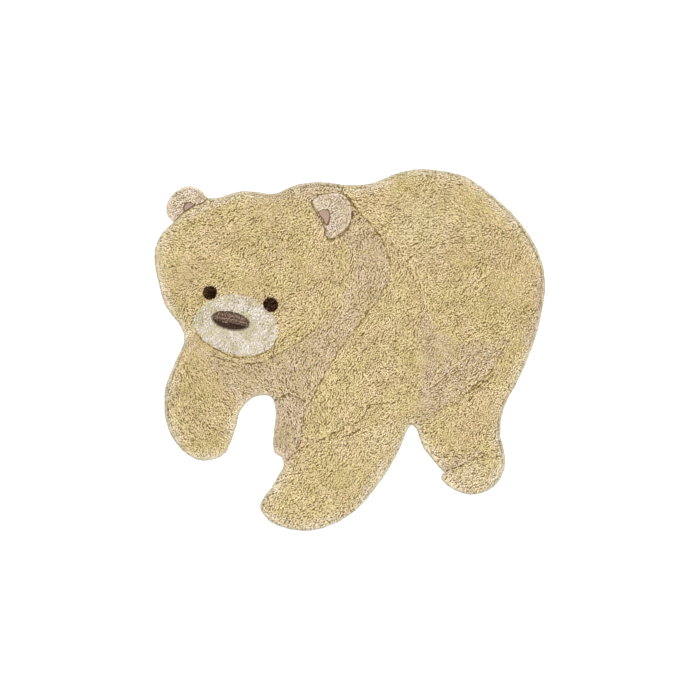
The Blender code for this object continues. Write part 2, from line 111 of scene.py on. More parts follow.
# ---- lines carved in the pile
CHIN_LINE = marks(
    left=(-418, -14), under_muzzle=(-378, -29), middle=(-337, -37), right=(-296, -39),
    corner=(-250, -30), end=(-215, -8),
)
JAW_LINE = marks(corner=(-215, -8), jaw=(-180, 8), jaw_back=(-124, 48), cheek_back=(-68, 84))
THROAT_TOP = marks(
    cheek=(-488, 30), under_cheek=(-440, 0), under_muzzle=(-390, -14), middle=(-330, -25),
    right=(-265, -22), jaw=(-188, 3),
) + JAW_LINE[2:]
HEAD_BACK_LINE = marks(
    cheek_back=(-60, 92), neck_low=(-30, 125), neck_middle=(4, 215), neck_high=(14, 285),
    ear_lobe=(-14, 336),
)
SHOULDER_EDGE = marks(
    nape=(-26, 487), behind_ear=(34, 419), high=(93, 350), widest=(124, 268), middle=(109, 190),
    low=(49, 102), chest=(-30, 0), leg_high=(-97, -117), leg_middle=(-134, -190), leg_low=(-152, -290),
    leg_foot=(-186, -334),
)
GROOVE = SHOULDER_EDGE[:3]
SHOULDER_BACK = marks(
    nape=(-18, 480), high=(73, 428), middle=(158, 295), low=(214, 212), foot=(248, 60),
)
FAR_LEG_TOP = marks(left=(-221, -146), middle=(-184, -134), right=(-133, -156))
BELLY_EDGE = marks(
    flank_high=(495, 36), flank=(479, 20), high=(462, -7), bend=(449, -38), middle=(432, -64),
    thigh=(392, -99), thigh_low=(349, -138), low=(323, -164), dip=(288, -173), groin_high=(262, -190),
    groin=(222, -226),
)
THIGH_CRACK = marks(low=(362, -129), middle=(392, -110), high=(438, -75))
THIGH_CRACK_SECOND = marks(low=(375, -133), middle=(410, -114), high=(442, -111))
BELLY_CREASE = marks(
    low=(245, -120), below_middle=(283, -90), middle=(305, -73), above_middle=(332, -51),
    high=(358, -25),
)
BELLY_CREASE_SECOND = marks(low=(283, -102), middle=(309, -83), high=(350, -45))
FOOT_CREASE = marks(toes=(297, -367), middle=(342, -350), end=(416, -307))
LEG_CREASE = marks(shin=(-152, -302), low=(-83, -271), middle=(-20, -240))
LEG_CREASE_TOP = marks(end=(110, -161), bend=(59, -171), below=(49, -193), foot=(33, -216))
LEG_CREASE_SECOND = marks(top=(40, -172), bend=(23, -181), below=(20, -193), foot=(-3, -210))
LEG_CREASE_THIRD = marks(top=(52, -210), middle=(24, -218), foot=(3, -227))
LEG_CREASE_FOURTH = marks(top=(40, -224), foot=(21, -242))
LEG_CREASE_FIFTH = marks(top=(34, -238), middle=(0, -257), foot=(-24, -265))
MUZZLE_LINE = marks(
    left=(-465, 52), cheek=(-438, 28), under_muzzle=(-393, 0), low=(-352, -18), right=(-296, -18),
    corner=(-256, -4), beside_mouth=(-225, 16),
)
JAW_RIDGE = marks(
    corner=(-250, -12), beside_mouth=(-222, 12), middle=(-195, 38), cheek=(-164, 56),
    end=(-134, 82),
)
# Each line's half width, its bare parting and its depth, how far it strays from its marks, and the width
# of the ruffled band on either side
CARVINGS = [
    Carving(4.5, 1.8, 0.6, 1.5, 0, CHIN_LINE),
    Carving(5, 1, 0.6, 2.5, 12, JAW_LINE),
    Carving(4, 2.8, 1, 2, 22, JAW_RIDGE),
    Carving(4.5, 2.6, 0.8, 1.5, 0, MUZZLE_LINE),
    Carving(6, 0, -1, 4, 12, HEAD_BACK_LINE),
    Carving(4.8, 0.8, 0.5, 4.5, 18, SHOULDER_EDGE),
    Carving(4, 2.4, 1, 1.2, 0, GROOVE),
    Carving(6, 0, -0.8, 5, 18, SHOULDER_BACK),
    Carving(5, 2, 0.8, 3, 10, FAR_LEG_TOP),
    Carving(4.5, 1.8, 1, 1.5, 12, BELLY_EDGE),
    Carving(3.2, 1.9, 0.8, 1, 16, BELLY_CREASE),
    Carving(3.2, 1.7, 0.8, 1, 8, BELLY_CREASE_SECOND),
    Carving(4, 2, 1, 2.5, 14, THIGH_CRACK),
    Carving(3.5, 1.7, 0.8, 2.5, 8, THIGH_CRACK_SECOND),
    Carving(4.5, 2, 1, 2, 6, FOOT_CREASE),
    Carving(4.4, 2.6, 1.2, 4, 34, LEG_CREASE),
    Carving(4, 2.6, 1.2, 2.5, 22, LEG_CREASE_TOP),
    Carving(4, 2.5, 1.2, 2.5, 14, LEG_CREASE_SECOND),
    Carving(3.6, 2.1, 1, 2.5, 0, LEG_CREASE_THIRD),
    Carving(3.4, 1.6, 1, 3, 0, LEG_CREASE_FOURTH),
    Carving(3.8, 2.3, 1.1, 2.5, 14, LEG_CREASE_FIFTH),
]
# These follow rims: two parts of the near ear's, each ear's cloth's, and the body's
# below the near ear's lower edge the pile is pressed down and parted, with painted shadow
UNDER_EAR = Carving(9, 3, 4, 2.5, 0, None)
EAR_BASE = Carving(3, 0, 0, 1.5, 0, None)
POCKET = Carving(4, 0, 1, 0.5, 0, None)
EAR_ROOT = Carving(6, 0, 1.5, 1, 0, None)
# The near ear's two, with the way that each faces and how nearly
EAR_PARTS = ((UNDER_EAR, (0.50, -0.87), 0.45), (EAR_BASE, (-0.93, -0.37), 0.30))
EAR_TUCK = 3.2  # how far under the ear's rim the body's pile goes on
POCKET_GAP = 2.0  # between an ear's locks and its cloth
POCKET_MOUTH = 6.0  # and near the ear's rim, where the pocket opens

DRIFT_LENGTH = 17.0  # across which a carved line strays, and is deeper or shallower
STRENGTH_LENGTH = 24.0
STRENGTH_RANGE = (0.15, 1.2)
ALONG_SHARE = 0.8  # how far the ruffled pile turns along its line
PART_SHARE = 0.35  # how far locks lean away from a carved line, of its half width
PART_SHADE = 0.42  # how much painted shade darkens them there, and how much painted light pales its lips
LIP_LIGHT = 0.05

# ---- fields of other yarns
EAR_BASE_SEAM = marks(lobe=(-60, 352), low=(-80, 372), high=(-112, 448))
BEHIND_HEAD_SEAM = marks(ear_top=(-122, 454), middle=(-180, 459), crown=(-240, 466))
THROAT_SEAM = marks(
    armpit=(-318, -160), chest=(-375, -105), paw_top=(-425, -45), throat_low=(-452, 0),
    throat_edge=(-505, 12),
)
FLANK_SEAM = marks(
    groin=(206, -170), leg_high=(226, -50), elbow_back=(219, 60), elbow_top=(232, 122),
    front=(264, 68), middle=(330, 28), back=(420, 22), end=(486, 42),
)
THROAT_AND_NECK = (
    THROAT_TOP + HEAD_BACK_LINE + EAR_BASE_SEAM + BEHIND_HEAD_SEAM
    + marks(behind_head_edge=(-275, 520), nape_edge=(-30, 530)) + SHOULDER_EDGE[:9]
    + marks(armpit_right=(-228, -150), under_armpit=(-285, -170)) + THROAT_SEAM
)
FAR_LEG_FIELD = FAR_LEG_TOP + SHOULDER_EDGE[8:] + marks(
    under_toes=(-210, -360), beside_shin=(-260, -250),
)
BELLY_FIELD = BELLY_EDGE + marks(groin_edge=(190, -250)) + FLANK_SEAM
TAIL_FIELD = marks(
    low=(533, 22), middle=(562, 115), high=(580, 232), edge_high=(620, 240), edge_low=(590, 10),
)
HOCK_FIELD = marks(high=(462, -222), middle=(453, -265), low=(460, -308), edge=(490, -265))
FOOT_WEDGE = marks(
    rim_high=(280, -348), high=(348, -315), tip=(412, -306), below_tip=(378, -330), low=(345, -350),
    rim_low=(292, -374),
)
MUZZLE = marks(
    left=(-473, 90), top_left=(-438, 142), top=(-350, 172), top_right=(-269, 146),
    right_high=(-219, 80), right_low=(-232, 16), bottom_right=(-285, -14), bottom=(-350, -9),
    bottom_left=(-440, 30),
)
FIELDS = [  # how raggedly the two yarns meet, and the share of the body's own yarn that is mixed in
    Field("rose", 4.0, 0.22, THROAT_AND_NECK),
    Field("rose", 2.5, 0.0, FAR_LEG_FIELD),
    Field("rose", 5.0, 0.25, BELLY_FIELD),
    Field("rose", 4.0, 0.0, TAIL_FIELD),
    Field("rose", 3.0, 0.1, HOCK_FIELD),
    Field("rose", 3.0, 0.2, FOOT_WEDGE),
    Field("cream", 2.5, 0.0, MUZZLE),
]
FAR_EYE = Oval(-422, 177, 22, 22, 0)
NEAR_EYE = Oval(-238, 140, 24, 23, 0)
NOSE = Oval(-360, 92, 61, 29, -12)
OVAL_POINTS = 48

BODY_PARTS = (  # each piece of the body's pile: its yarn, its slot, and from which x to which
    ("pile_rose", "rose", "shade_pile", -700, 700),
    ("pile_cream", "cream", "muzzle_pile", -700, 700),
    ("pile_head", "honey", "body_pile", -700, -310),
    ("pile_cheek", "honey", "body_pile", -310, -90),
    ("pile_shoulder", "honey", "body_pile", -90, 130),
    ("pile_flank", "honey", "body_pile", 130, 330),
    ("pile_haunch", "honey", "body_pile", 330, 700),
)

# Which way the ends of the locks lie, in degrees from +X towards +Y, and how roughly they are combed
LAYS = table(
    Lay, crown=(-400, 400, 205, 1.0), forehead=(-300, 300, 210, 1.15), brow=(-520, 280, 160, 0.95),
    cheek=(-160, 120, 215, 1.1), muzzle=(-350, 60, 260, 0.5), upper_muzzle=(-340, 130, 250, 0.7),
    throat=(-330, -80, 335, 0.8), raised_paw=(-450, -200, 305, 1.0), far_leg=(-190, -240, 280, 0.8),
    neck=(50, 250, 250, 0.9), foreleg_high=(60, 0, 225, 1.45), foreleg_low=(-120, -420, 215, 1.6),
    saddle=(160, 440, 200, 0.9), flank=(330, 150, 215, 1.0), haunch=(480, 250, 230, 0.9),
    croup=(400, 450, 150, 0.9), thigh=(420, -220, 225, 1.1), hind_foot=(370, -390, 200, 0.9),
)
# Where the pile is cracked open more than elsewhere, or less
ROUGH_SPOTS = table(
    Spot, shoulder_high=(140, 215, 55, 0.5), shoulder_middle=(50, 110, 60, 0.5),
    chest=(-12, 0, 55, 0.8), foreleg_front=(-75, -105, 58, 1.0), foreleg_crease=(60, -155, 60, 0.5),
    foreleg_shin=(-115, -275, 50, 0.8), forepaw=(-165, -425, 55, 0.6),
    before_ear=(-90, 380, 60, 0.5), back=(308, 367, 55, 0.6), thigh_back=(414, -114, 45, 0.9),
    jaw=(-180, 34, 42, 0.7), brow=(-455, 337, 36, 0.5), raised_paw=(-378, -151, 50, 0.3),
    rump_edge=(536, 215, 95, -0.5), croup=(460, 458, 100, -0.4), withers=(155, 489, 75, -0.5),
    head_edge=(-530, 245, 60, -0.6), flank=(247, 32, 80, -0.4), muzzle=(-347, 55, 120, -0.2),
    foreleg_edge=(125, -303, 65, -0.5), forepaw_edge=(34, -395, 65, -0.4), hock=(323, -288, 45, -0.3),
    throat=(-300, -75, 60, -0.3),
)
LAY_BLEND = 40.0  # how near a lay's own place it rules alone
SPOT_EDGE = 22.0  # the length of the unevenness round a spot
SWIRL = 32.0  # degrees that the lay wanders
SWIRL_LENGTH = 34.0
SWAY = 18.0  # degrees that single locks differ by
CRACK_SPACING = 6.7  # between the fine cracks along the lay
CRACK_GRAIN = 3.8
CRACK_REACH = 2.4  # how far they are drawn out either way
CRACK_START = 0.75  # how much lower the pile is where a crack starts
CRACK_SPAN = 0.45
CRACK_PUSH = 1.4  # how far locks stand and lean out of a crack
CRACK_LEAN = 1.0
CRACK_DEPTH = 2.6
# painted shade in the cracks
CRACK_SHADE = 1.15
CRACK_BARE = 1.10  # no locks stand where a crack is deeper than this
# painted light on the pile's ridges between the cracks
RIDGE_LIGHT = 0.05
ROUGH_LIGHT = 0.03  # painted light: how much lighter cracked pile is painted between its cracks
CALM = 0.35  # pile no rougher than this has no cracks
CALM_RIM = 30.0  # cracks fade where the rim is nearer than this, down to a share
CALM_SHARE = 0.25
BITE = 1.7  # how fast cracks deepen with roughness, and the most they do
BITE_MOST = 1.95
SHADE_RANGE = (0.20, 1.2)
SHADE_TINT = np.array([1.0, 1.17, 1.75])  # the powers that a shaded lock's red, green and blue fall by

YARNS = {  # linear colours: lit ends, the foot in painted shade, the warm or pale blotches, and the locks' own spread
    "honey": Yarn((0.774, 0.646, 0.340), (0.372, 0.264, 0.090), (0.786, 0.633, 0.370), 0.125),
    "rose": Yarn((0.728, 0.598, 0.388), (0.374, 0.276, 0.142), (0.742, 0.601, 0.420), 0.120),
    "cream": Yarn((0.772, 0.727, 0.686), (0.500, 0.430, 0.320), (0.610, 0.556, 0.366), 0.110),
    "cocoa": Yarn((0.030, 0.012, 0.006), (0.007, 0.003, 0.001), (0.150, 0.082, 0.045), 0.70),
    "umber": Yarn((0.066, 0.038, 0.024), (0.020, 0.011, 0.007), (0.480, 0.340, 0.250), 0.28),
    "ear": Yarn((0.895, 0.770, 0.640), (0.545, 0.440, 0.295), (0.820, 0.705, 0.520), 0.100),
}
RIMS = {  # the paler colour that a yarn turns towards at the rim, how far, and how wide
    "honey": Rim((0.925, 0.838, 0.665), 0.72, 38.0),
    "rose": Rim((0.88, 0.80, 0.67), 0.35, 25.0),
    "ear": Rim((0.90, 0.80, 0.79), 0.30, 12.0),
}
PAINTED_EDGE_LIGHT = np.array([0.93, 0.905, 0.90])  # painted light: the near-white that the body's yarn is painted towards at its very edge
PAINTED_EDGE_LIGHT_BAND = 12.0
PAINTED_EDGE_LIGHT_SHARE = 0.55
NO_EDGE_LIGHT_SPOT = Spot(-482, 432, 85, 1.0)  # but not here, beside the far ear
PALE_SPOTS = table(  # where the body's yarn is paler
    Spot, hind_foot=(372, -392, 70, 0.38), foreleg_edge=(95, -265, 60, 0.25),
    saddle=(230, 400, 120, 0.20),
)
BLOTCH_LENGTH = 95.0
MUZZLE_BLOTCH_LENGTH = 24.0
EAR_BLOTCH_LENGTH = 40.0
LOCK_TONE = 0.75  # how much a yarn's spread shows from lock to lock, and from patch to patch
PATCH_TONE = 0.45
TONE_LENGTH = 34.0
TONE_RANGE = (0.2, 1.3)

# ---- the photograph's viewpoint
CAMERA_AT = (0.68, -0.74, 5045.0)
VIEW_WIDTH = 2132.0  # the width that the frame takes in, at the pile
SENSOR = 36.0
WORLD_LIGHT = 0.34
FLOOR_SIZE = 40.0  # in metres
FLOOR_WHITE = 0.93


# ---- curves and distances
def placed(mark):
    """Where a mark, a lay, a spot or an oval lies in the frame."""
    return np.array((mark.x, mark.y)) - DRAWING_MIDDLE


def unit(vectors):
    """The vectors, each one long."""
    return vectors / np.maximum(np.linalg.norm(vectors, axis=1, keepdims=True), 1e-6)


def turned(points, degrees):
    """The points, turned about the origin."""
    c, s = math.cos(math.radians(degrees)), math.sin(math.radians(degrees))
    return points @ np.array([[c, s], [-s, c]])


def pointing(angles):
    """Unit vectors at angles."""
    return np.stack([np.cos(angles), np.sin(angles)], 1)


def outward(loop):
    """The unit vector that points out of a closed loop at each of its points."""
    along = unit(np.roll(loop, -1, 0) - np.roll(loop, 1, 0))
    return np.stack([along[:, 1], -along[:, 0]], 1)


def drawn(line, step, closed=False):
    """Points about a step apart on a smooth curve through a line's marks, in the frame."""
    knots = [placed(mark) for mark in line]
    if closed:
        knots = [knots[-1], *knots, knots[0], knots[1]]
    else:
        knots = [2 * knots[0] - knots[1], *knots, 2 * knots[-1] - knots[-2]]
    points = []
    for row in zip(knots, knots[1:], knots[2:], knots[3:]):
        times = np.cumsum([0.0, *(math.sqrt(np.linalg.norm(b - a)) for a, b in zip(row, row[1:]))])
        count = max(2, round(np.linalg.norm(row[2] - row[1]) / step))
        for t in np.linspace(times[1], times[2], count, endpoint=False):
            points.append(between(t, times, row))
    if not closed:
        points.append(knots[-2])
    return np.array(points)


def between(t, times, row):
    """The curve's point at time t, by blending a row of four knots pair by pair."""
    for spans in (((0, 1), (1, 2), (2, 3)), ((0, 2), (1, 3)), ((1, 2),)):
        row = [
            (row[i] * (times[end] - t) + row[i + 1] * (t - times[start])) / (times[end] - times[start])
            for i, (start, end) in enumerate(spans)
        ]
    return row[0]


def nearest(points, line, closed=False):
    """Each point's distance from a line, and the unit vector that points to it from the line."""
    ends = np.roll(line, -1, 0) if closed else line[1:]
    starts = line if closed else line[:-1]
    gaps = np.full(len(points), np.inf)
    away = np.zeros((len(points), 2))
    for a, b in zip(starts, ends):
        share = np.clip((points - a) @ (b - a) / max((b - a) @ (b - a), 1e-9), 0, 1)
        offset = points - (a + share[:, None] * (b - a))
        gap = np.linalg.norm(offset, axis=1)
        closer = gap < gaps
        gaps[closer] = gap[closer]
        away[closer] = offset[closer]
    return gaps, away / np.maximum(gaps, 1e-6)[:, None]


def inside(points, loop):
    """True for each point within a closed loop."""
    crossed = np.zeros(len(points), bool)
    for a, b in zip(loop, np.roll(loop, -1, 0)):
        spans = (a[1] > points[:, 1]) != (b[1] > points[:, 1])
        if a[1] != b[1]:
            x = a[0] + (points[:, 1] - a[1]) / (b[1] - a[1]) * (b[0] - a[0])
            crossed ^= spans & (points[:, 0] < x)
    return crossed


def in_oval(points, oval):
    """Each point's place in an oval's own axes, from -1 to 1, and True where it is inside."""
    place = turned(points - placed(oval), -oval.tilt) / (oval.half_width, oval.half_height)
    return place, np.sum(place**2, axis=1) < 1


def wander(points, length, seed):
    """Smooth noise from about -1 to 1 at each point, with features about a length across."""
    places = points @ np.array([[0.8, 0.6], [-0.6, 0.8]]) / length
    return np.array([noise.noise((x, y, seed)) for x, y in places]) * 1.6


# ---- reading the solids
class Solid:
    """One of the frame's solids in millimetres: its mesh, its rim as a loop, and its heights."""

    def __init__(self, name):
        self.name = name
        mesh = bmesh.new()
        mesh.from_mesh(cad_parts[name].data)
        bmesh.ops.remove_doubles(mesh, verts=mesh.verts, dist=1e-5)
        bmesh.ops.scale(mesh, vec=Vector((1, 1, 1)) / MM, verts=mesh.verts)
        mesh.normal_update()
        mesh.verts.ensure_lookup_table()
        self.vertices = np.array([v.co[:] for v in mesh.verts])
        self.faces = [[v.index for v in f.verts] for f in mesh.faces]
        upward = [f.normal.z > UPWARD for f in mesh.faces]
        self.tree = BVHTree.FromBMesh(mesh)
        mesh.free()
        self.floor = self.vertices[:, 2].min()
        self.rim_ids = round_trip([f for f, up in zip(self.faces, upward) if up])
        self.rim = self.vertices[self.rim_ids][:, :2]
        self.foot_faces = [f for f in self.faces if self.vertices[f][:, 2].max() < self.floor + FOOT_BAND]
        self.foot = self.vertices[round_trip(self.foot_faces)][:, :2]

    def top(self, points):
        """The height of the solid's face at each point."""
        high = self.vertices[:, 2].max() + 10
        tops = []
        for x, y in points:
            hit = self.tree.ray_cast(Vector((x, y, high)), Vector((0, 0, -1)))[0]
            tops.append(hit.z if hit else np.nan)
        return np.array(tops)


def round_trip(faces):
    """The vertices round a patch of faces, in order: the longest loop of its open edges."""
    edges = {(a, b) for f in faces for a, b in zip(f, f[1:] + f[:1])}
    following = {a: b for a, b in edges if (b, a) not in edges}
    loops = []
    while following:
        start, at = following.popitem()
        loop = [start]
        while at != start:
            loop.append(at)
            at = following.pop(at)
        loops.append(loop)
    return max(loops, key=len)


def in_scene(name, data):
    """A new object, linked into the scene."""
    made = bpy.data.objects.new(name, data)
    bpy.context.scene.collection.objects.link(made)
    return made


# ---- planting locks
def spread(loop, pitch, jitter, turn, seed):
    """Staggered rows of slightly scattered points within a loop, at an angle."""
    rng = np.random.default_rng(seed)
    middle = (loop.min(0) + loop.max(0)) / 2
    half = np.linalg.norm(loop.max(0) - loop.min(0)) / 2
    rows = []
    for row, y in enumerate(np.arange(-half, half, pitch * math.sqrt(3) / 2)):
        x = np.arange(-half + pitch / 2 * (row % 2), half, pitch)
        rows.append(np.stack([x, np.full(len(x), y)], 1))
    points = turned(np.concatenate(rows), turn) + middle
    points += rng.uniform(-jitter, jitter, points.shape)
    return points[inside(points, loop)]


def rim_row(loop, inset, pitch, start):
    """Points a pitch apart along a loop, an inset inside it."""
    ends = np.concatenate([loop, loop[:1]])
    steps = np.linalg.norm(np.diff(ends, axis=0), axis=1)
    reached = np.concatenate([[0], np.cumsum(steps)])
    places = np.arange(start * pitch, reached[-1], pitch)
    points = np.stack([np.interp(places, reached, ends[:, i]) for i in (0, 1)], 1)
    row = points - outward(points) * inset
    return row[inside(row, loop)]


def combed(points):
    """Which way the pile lies at each point, as unit vectors, and how rough it is there."""
    total = np.zeros((len(points), 3))
    weights = np.zeros(len(points))
    for lay in LAYS:
        weight = 1 / (np.sum((points - placed(lay)) ** 2, axis=1) + LAY_BLEND**2) ** 1.5
        turn = math.radians(lay.angle)
        total += weight[:, None] * np.array((math.cos(turn), math.sin(turn), lay.rough))
        weights += weight
    swirl = wander(points, SWIRL_LENGTH, 7.3) + 0.5 * wander(points, SWIRL_LENGTH / 2.4, 2.9)
    angles = np.arctan2(total[:, 1], total[:, 0]) + np.radians(SWIRL) * swirl
    rough = total[:, 2] / weights * (1 + PATCH_ROUGH * wander(points, PATCH_LENGTH, 9.4))
    edge = wander(points, SPOT_EDGE, 6.6)
    for spot in ROUGH_SPOTS:
        rough += spot.amount * nearness(points, spot, edge)
    return pointing(angles), np.clip(rough, 0, 2)


def nearness(points, spot, edge):
    """How near each point is to a spot's middle, from 0 to 1. The noise, edge, makes it uneven."""
    away = np.linalg.norm(points - placed(spot), axis=1) / spot.radius + 0.25 * edge
    return np.clip(1.4 * (1.15 - away), 0, 1)


def streaks(points, heading):
    """Noise drawn out along the lay."""
    steps = np.linspace(-CRACK_REACH, CRACK_REACH, 4)
    return sum(wander(points + heading * step, CRACK_GRAIN, 3.7) for step in steps)


def cracks(points, heading):
    """How deep in a crack each point is, how high between cracks, and the way out of it."""
    across = np.stack([-heading[:, 1], heading[:, 0]], 1)
    side = across * CRACK_SPACING / 2
    left, here, right = (streaks(points + side * step, heading) for step in (-1, 0, 1))
    height = here - (left + right) / 2
    height /= height.std()
    return (
        np.clip((-height - CRACK_START) / CRACK_SPAN, 0, 1),
        np.clip(height, 0, 1),
        across * np.sign(right - left)[:, None],
    )


def clump_shift(points, pile, seed):
    """How far each lock's end moves towards the middle of its clump."""
    low, high = points.min(0) - pile.clump, points.max(0) + pile.clump
    rng = np.random.default_rng(seed)
    grid = np.stack(np.meshgrid(*[np.arange(a, b, pile.clump) for a, b in zip(low, high)]), -1)
    grid[1::2, :, 0] += pile.clump / 2
    middles = grid.reshape(-1, 2) + rng.uniform(-0.22, 0.22, (grid.size // 2, 2)) * pile.clump
    tree = kdtree.KDTree(len(middles))
    for i, (x, y) in enumerate(middles):
        tree.insert((x, y, 0), i)
    tree.balance()
    owner = np.array([tree.find((x, y, 0))[1] for x, y in points])
    pull = pile.pull * rng.uniform(0.4, 1, len(middles))[owner]
    return (middles[owner] - points) * pull[:, None], rng.normal(size=len(middles))[owner]


Locks = namedtuple("Locks", "root axis lean across length width shade colour deep")


def edged(solid, points, pile):
    """The points that are clear of a solid's rim, with rows along it, and every point's height."""
    gaps, _ = nearest(points, solid.rim, closed=True)
    rows = [points[gaps > FACE_FROM]]
    pitch = pile.pitch * RIM_PITCH
    rng = np.random.default_rng(5)
    for i, inset in enumerate(RIM_INSETS):
        row = rim_row(solid.rim, inset, pitch, 0.5 * (i % 2))
        stray = max(RIM_JITTER, pile.stray) if i else pile.stray
        rows.append(row + stray * rng.normal(size=row.shape))
    low = rim_row(solid.rim, RIM_INSETS[0], pitch, 0.5)
    points = np.concatenate([*rows, low])
    tops = solid.top(points)
    tops[len(points) - len(low):] = solid.floor + LOW_ROW
    return points, tops


def ruffled(points, heading, rough, carvings):
    """The lay and roughness beside the carved lines, and each line's distance and way out."""
    drift = np.stack([wander(points, DRIFT_LENGTH, 5.1), wander(points, DRIFT_LENGTH, 8.6)], 1)
    lines = []
    for carving, line in carvings:
        gap, away = nearest(points + carving.ragged * drift, line)
        lines.append((carving, gap, away))
        if carving.ruffle:
            band = np.clip(1.3 * (1 - gap / carving.ruffle), 0, 1)
            along = np.stack([-away[:, 1], away[:, 0]], 1)
            along *= np.sign(np.sum(along * heading, axis=1))[:, None]
            heading = unit(heading + (along - heading) * (ALONG_SHARE * band)[:, None])
            rough = rough + RUFFLE * band
    return heading, rough, lines


def planted(solid, points, tops, pile, carvings, seed):
    """The locks' roots and shapes at points on a solid's face, before they have a colour."""
    rng = np.random.default_rng(seed)
    landed = ~np.isnan(tops)
    points, tops = points[landed], tops[landed]
    count = len(points)
    gaps, inward = nearest(points, solid.rim, closed=True)
    out = -inward
    round_over = np.clip(1 - gaps / RIM_REACH, 0, 1)
    tilt = np.arcsin(round_over) * pile.turn * (1 + RIM_SCATTER * rng.normal(size=count))
    axis = np.concatenate([out * np.sin(tilt)[:, None], np.cos(tilt)[:, None]], 1)

    heading, rough = combed(points)
    heading = unit(heading + (out - heading) * np.clip(1.5 * round_over, 0, 1)[:, None])
    heading, rough, lines = ruffled(points, heading, rough * pile.rough, carvings)
    crack, ridge, away = cracks(points, heading)
    bite = np.clip(BITE * (rough - CALM), 0, BITE_MOST) * np.clip(gaps / CALM_RIM, CALM_SHARE, 1)
    crack *= bite
    # painted shade in the cracks, and painted light on the pile between them and on its ridges
    shade = 1 + ROUGH_LIGHT * bite - CRACK_SHADE * crack + RIDGE_LIGHT * ridge * bite
    # painted shade on the rim's locks, where they lean out and catch the light
    shade -= pile.rim_shade * round_over * (1 + 0.35 * rng.normal(size=count))
    # nicks in the rim: the locks there are lower, with painted shade
    notch = round_over * np.clip(1.6 * wander(points, NOTCH_LENGTH, 4.4) - 0.3, 0, 1)
    shade -= pile.notch * notch
    pull, clump_height = clump_shift(points, pile, seed + 1)
    strength = np.clip(0.75 + 0.7 * wander(points, STRENGTH_LENGTH, 3.3), *STRENGTH_RANGE)
    points = points + away * (crack * CRACK_PUSH * (1 - round_over))[:, None]

    sway = np.radians(SWAY) * rng.normal(size=count)
    angles = np.arctan2(heading[:, 1], heading[:, 0]) + sway
    reach = pile.reach * (1 + REACH_SPREAD * rng.normal(size=count)) * np.cos(tilt) ** 2
    lean = pointing(angles) * reach[:, None]
    lean += pull * (np.clip(rough, 0.5, 1.2) * np.cos(tilt))[:, None]
    lean += away * (crack * CRACK_LEAN)[:, None]
    rise = pile.height_spread * (rng.normal(size=count) + 0.5 * clump_height)
    rise += pile.swell * wander(points, PATCH_LENGTH, 2.2) - CRACK_DEPTH * crack - NOTCH_DEPTH * notch
    keep = crack < CRACK_BARE
    for carving, gap, away in lines:
        near = np.clip(1 - gap / carving.half_width, 0, 1) * strength
        lean += away * (near * carving.half_width * PART_SHARE)[:, None]
        lip = np.clip(1 - np.abs(gap / carving.half_width - 1.0) / 0.5, 0, 1) * strength
        rise += lip * carving.lowered * LIP_SHARE - near * carving.lowered
        # painted shade along a parted line, and painted light on its lips
        if carving.parting:
            shade *= 1 - PART_SHADE * near + LIP_LIGHT * lip
        keep &= gap > carving.parting / 2 * strength

    usual = pile.length * (1 - RIM_SHORTER * round_over)
    root = np.concatenate([points, tops[:, None]], 1) - axis * usual[:, None]
    width = pile.width * (1 + WIDTH_SPREAD * rng.normal(size=count))
    lean3 = np.concatenate([lean, -SAG * np.linalg.norm(lean, axis=1)[:, None]], 1)
    across = np.stack([-np.sin(angles), np.cos(angles), np.zeros(count)], 1)
    made = Locks(root, axis, lean3, across, usual + np.clip(rise, *RISE_RANGE),
                 np.clip(width, pile.width * 0.6, None), np.clip(shade, *SHADE_RANGE), None, None)
    return picked(made, keep), points[keep], gaps[keep]


def picked(locks, chosen):
    """The chosen locks alone."""
    return Locks(*[None if part is None else part[chosen] for part in locks])


def coloured(locks, points, gaps, yarn_name, seed, blotch=BLOTCH_LENGTH, mix=None):
    """The locks with their lit colours and their feet's colours in painted shade, both times each lock's
    tone.
    """
    yarn = YARNS[yarn_name]
    rng = np.random.default_rng(seed)
    light, deep, warm = (np.array(c) for c in (yarn.light, yarn.deep, yarn.warm))
    if mix is None:
        mix = np.clip(0.5 + 1.2 * wander(points, blotch, 4.1) + 0.9 * wander(points, blotch / 4, 8.8), 0, 1)
    colour = light + (warm - light) * mix[:, None]
    if yarn_name in RIMS:
        rim = RIMS[yarn_name]
        pale = rim.share * np.clip(1.4 * (1 - gaps / rim.band), 0, 1)
        pale *= np.clip(0.85 + 0.7 * wander(points, 70.0, 6.1), 0.3, 1.15)
        edge = wander(points, SPOT_EDGE, 6.6)
        for spot in PALE_SPOTS:
            pale = np.maximum(pale, spot.amount * nearness(points, spot, edge))
        colour = colour + (np.array(rim.colour) - colour) * pale[:, None]
        if yarn_name != "ear":
            # painted light along the body's very edge
            edge_light = PAINTED_EDGE_LIGHT_SHARE * np.clip(1 - gaps / PAINTED_EDGE_LIGHT_BAND, 0, 1)
            edge_light *= 1 - nearness(points, NO_EDGE_LIGHT_SPOT, edge)
            colour = colour + (PAINTED_EDGE_LIGHT - colour) * edge_light[:, None]
        # painted light: nearer the rim a lock's foot loses some of its painted shade
        open_foot = RIM_OPEN * np.clip(1 - gaps / RIM_REACH, 0, 1)
        deep = deep + (colour - deep) * open_foot[:, None]
    tone = LOCK_TONE * (1 - rng.exponential(size=len(points))) + PATCH_TONE * wander(points, TONE_LENGTH, 1.4)
    # each lock's random tone, times its painted shade and light
    tone = (1 + yarn.spread * tone) * locks.shade
    tone = np.clip(tone, *TONE_RANGE)[:, None] ** SHADE_TINT
    return locks._replace(colour=colour * tone, deep=deep * tone)


